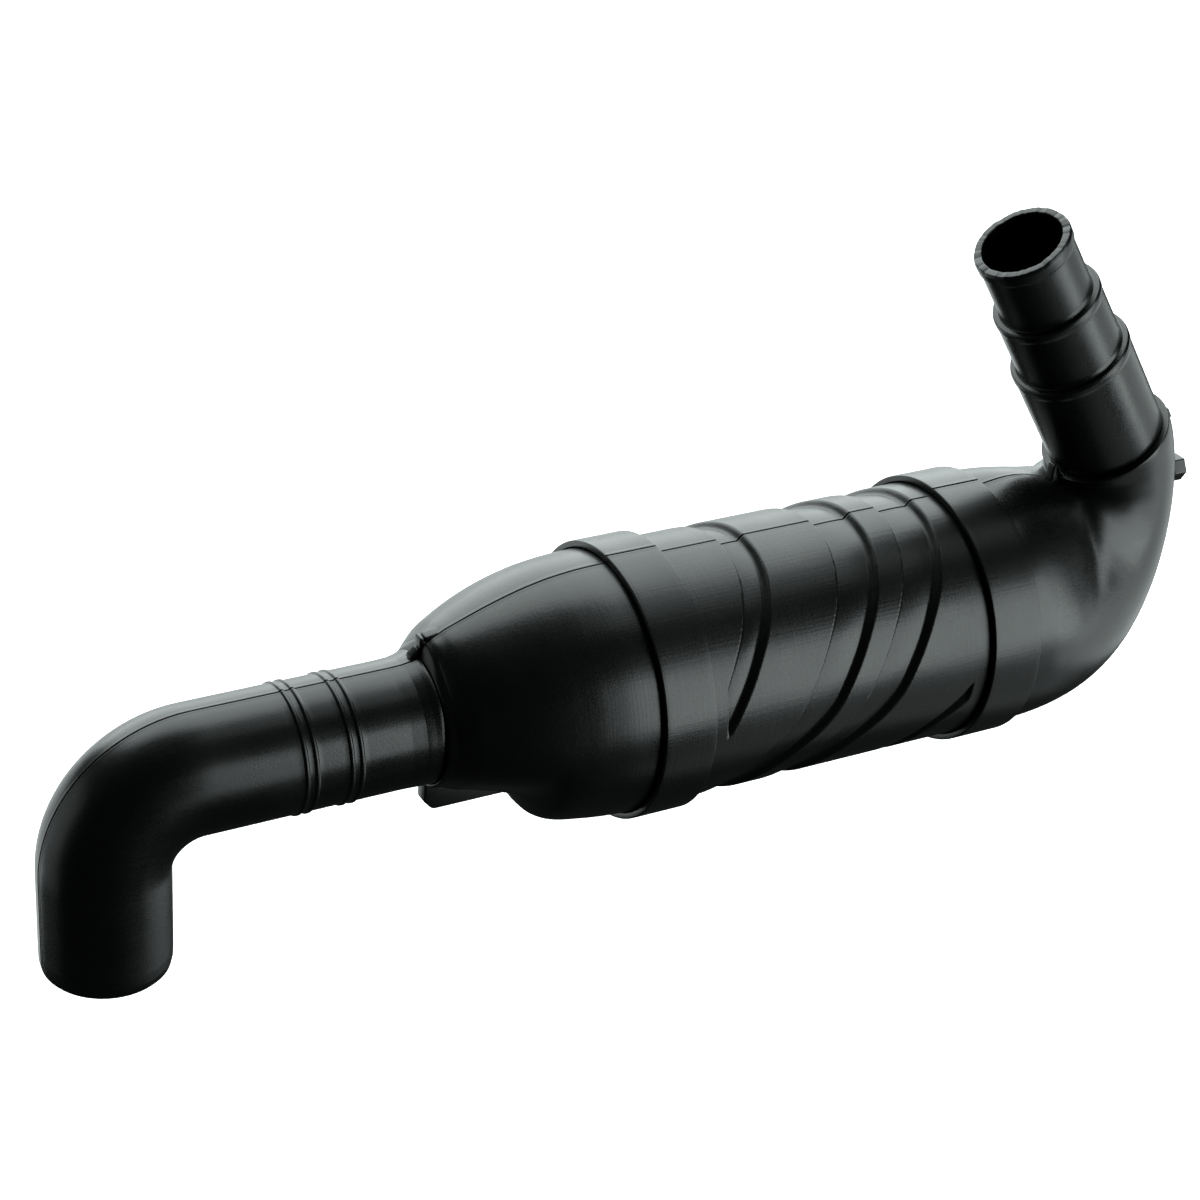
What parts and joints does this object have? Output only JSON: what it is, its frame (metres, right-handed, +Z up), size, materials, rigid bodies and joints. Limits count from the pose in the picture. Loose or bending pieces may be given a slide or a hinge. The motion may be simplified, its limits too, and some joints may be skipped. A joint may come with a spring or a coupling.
{
  "type": "p trap",
  "caption": "In-line water-seal trap: outlet bend, swelling chamber held by two wide rings, leaning stepped hose inlet.",
  "frame": {"origin": "centre of the outlet pipe's open end, in the plane of that end", "axes": "+X along the chamber from the outlet leg towards the inlet elbow, +Z up out of the outlet leg, y = 0 is the mould parting plane"},
  "size_m": [0.5037, 0.1108, 0.2444],
  "materials": {
    "black_plastic": "satin black moulded polyethylene with a fine grain and a slight sheen",
    "seal_rubber": "matt black nitrile rubber",
    "spring_steel": "plain spring steel"
  },
  "bodies": {
    "chamber": {"nose_shell": "black_plastic", "mounting_foot": "black_plastic", "front_coupling_ring": "black_plastic", "front_seal_ring": "seal_rubber", "barrel": "black_plastic", "dip_baffle": "black_plastic", "baffle_lock_ring": "black_plastic", "rear_coupling_ring": "black_plastic"},
    "outlet": {"outlet_bend": "black_plastic", "outlet_seal_ring": "seal_rubber", "outlet_snap_ring": "spring_steel", "neck_clip": "black_plastic"},
    "elbow": {"inlet_elbow": "black_plastic", "rear_seal_ring": "seal_rubber", "elbow_snap_ring": "spring_steel"},
    "tail": {"hose_tail": "black_plastic", "tail_seal_ring": "seal_rubber", "tail_snap_ring": "spring_steel"},
    "washer": {"vent_plug_washer": "seal_rubber"},
    "plug": {"vent_plug": "black_plastic"}
  },
  "joints": [
    {"name": "outlet_swivel", "type": "hinge", "parent": "chamber", "child": "outlet", "pos_m": [0.1246, 0, 0.0768], "axis": [1, 0, 0], "range_deg": [-90, 90]},
    {"name": "elbow_swivel", "type": "hinge", "parent": "chamber", "child": "elbow", "pos_m": [0.3634, 0, 0.0756], "axis": [1, 0, 0], "range_deg": [-90, 90]},
    {"name": "tail_swivel", "type": "hinge", "parent": "elbow", "child": "tail", "pos_m": [0.4356, 0, 0.1407], "axis": [-0.5189, 0, 0.8548], "continuous": true},
    {"name": "plug_travel", "type": "slide", "parent": "elbow", "child": "washer", "axis": [1, 0, 0], "range_m": [0, 0.006]},
    {"name": "plug_turn", "type": "hinge", "parent": "washer", "child": "plug", "pos_m": [0.4676, 0, 0.1174], "axis": [1, 0, 0], "range_deg": [0, 1450]}
  ],
  "couplings": [
    {"joint": "plug_turn", "follows": "plug_travel", "rad_per_m": 4188.8}
  ]
}
